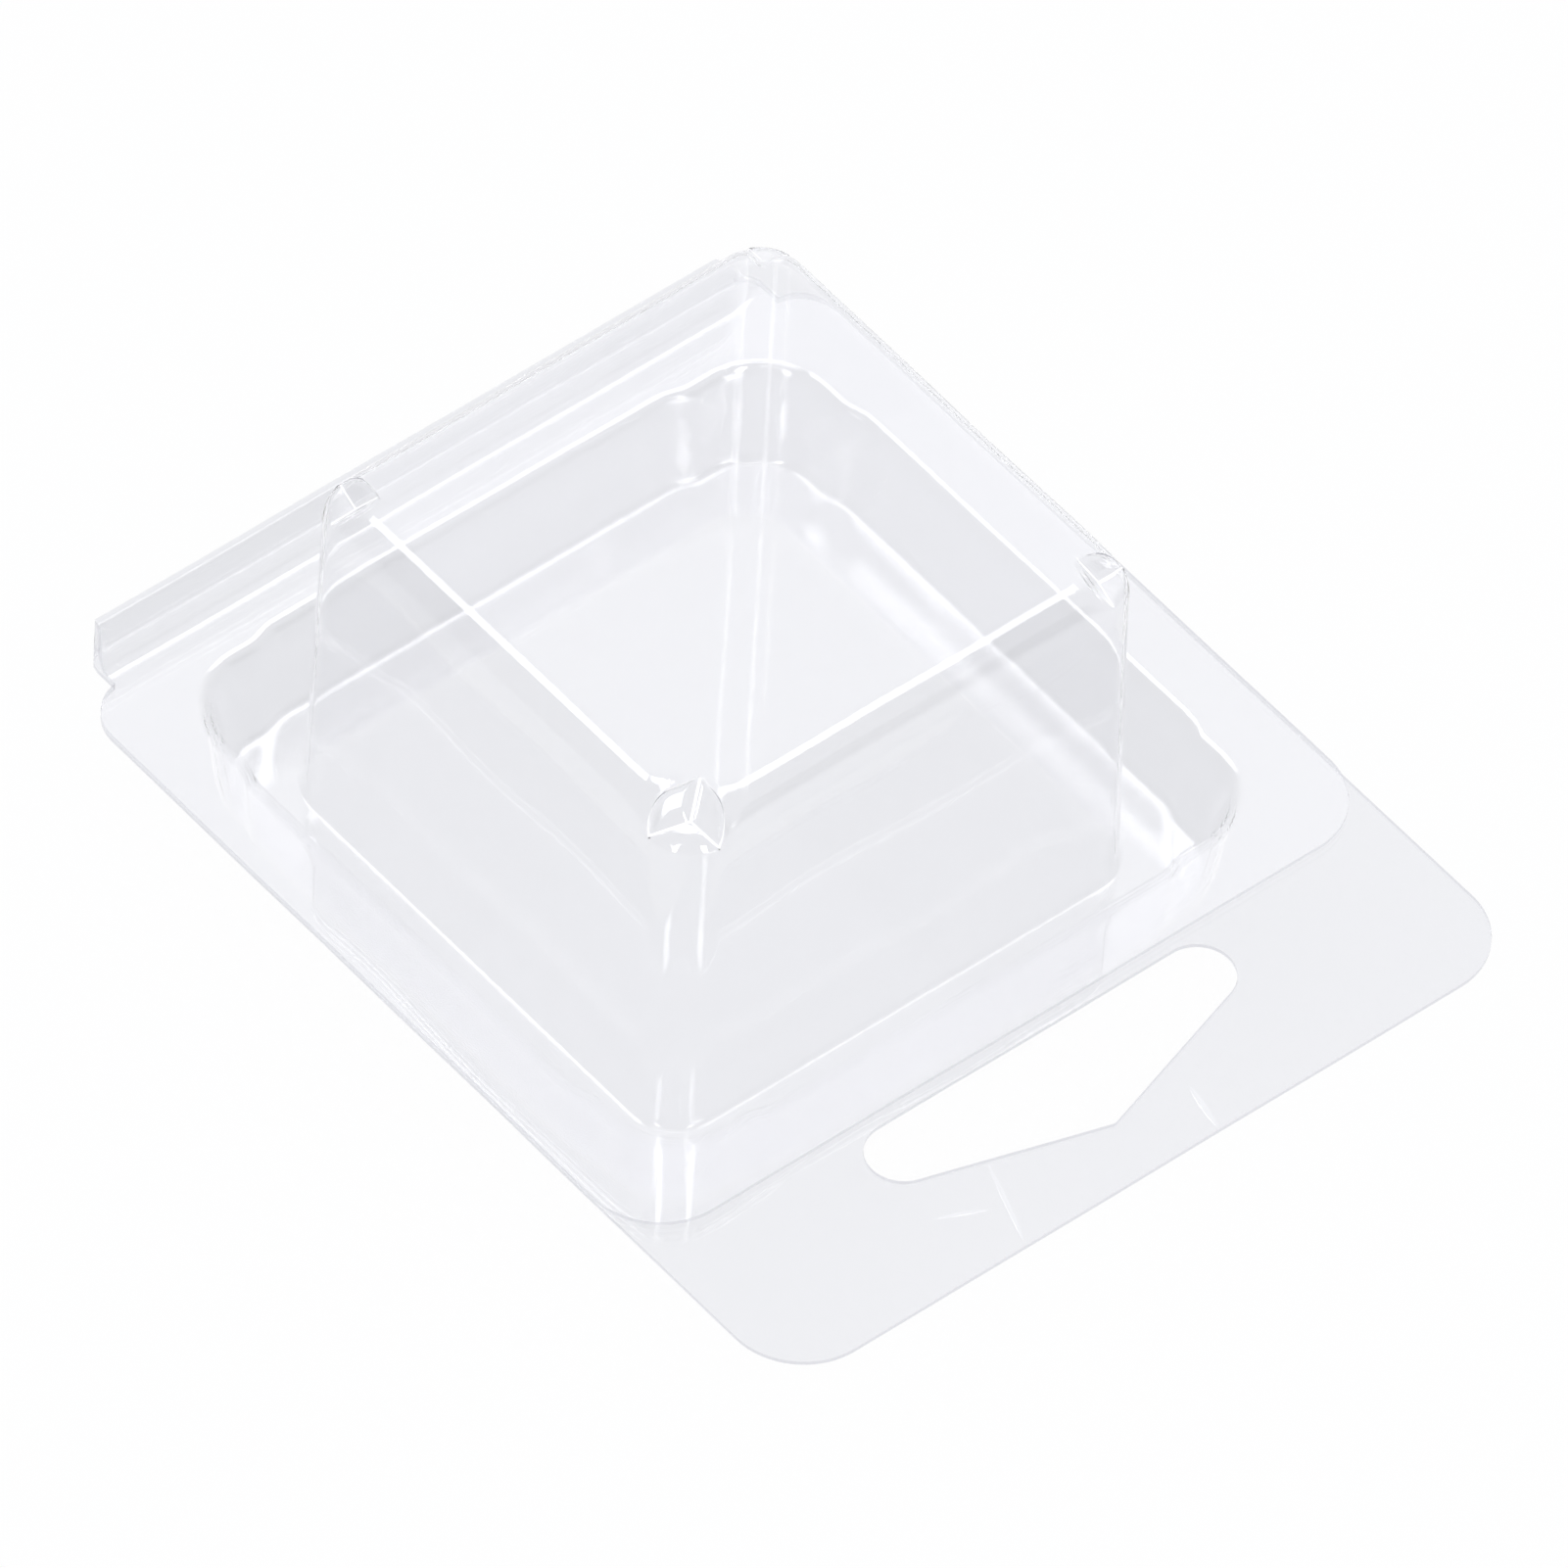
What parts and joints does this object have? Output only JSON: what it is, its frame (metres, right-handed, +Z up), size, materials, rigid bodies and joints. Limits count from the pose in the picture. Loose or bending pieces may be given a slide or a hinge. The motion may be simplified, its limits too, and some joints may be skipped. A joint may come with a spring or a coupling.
{
  "type": "clamshell wax melt mold",
  "caption": "Clear formed-sheet clamshell that folds shut: a square domed cavity half snaps into a shallow lid half with a hang tab.",
  "frame": {"origin": "bottom centre of the closed mould's bounding box, on the underside of the lid floor", "axes": "+Z up through the dome, +Y towards the fold, -Y towards the hang tab, +X along the fold"},
  "size_m": [0.0628, 0.0776, 0.0297],
  "materials": {
    "clear_sheet": "clear gloss thermoformed sheet"
  },
  "bodies": {
    "lid": {"lid_half": "clear_sheet"},
    "cavity": {"cavity_half": "clear_sheet"}
  },
  "joints": [
    {"name": "fold_hinge", "type": "hinge", "parent": "lid", "child": "cavity", "pos_m": [0, 0.03882, 0.00815], "axis": [-1, 0, 0], "range_deg": [0, 180]}
  ]
}
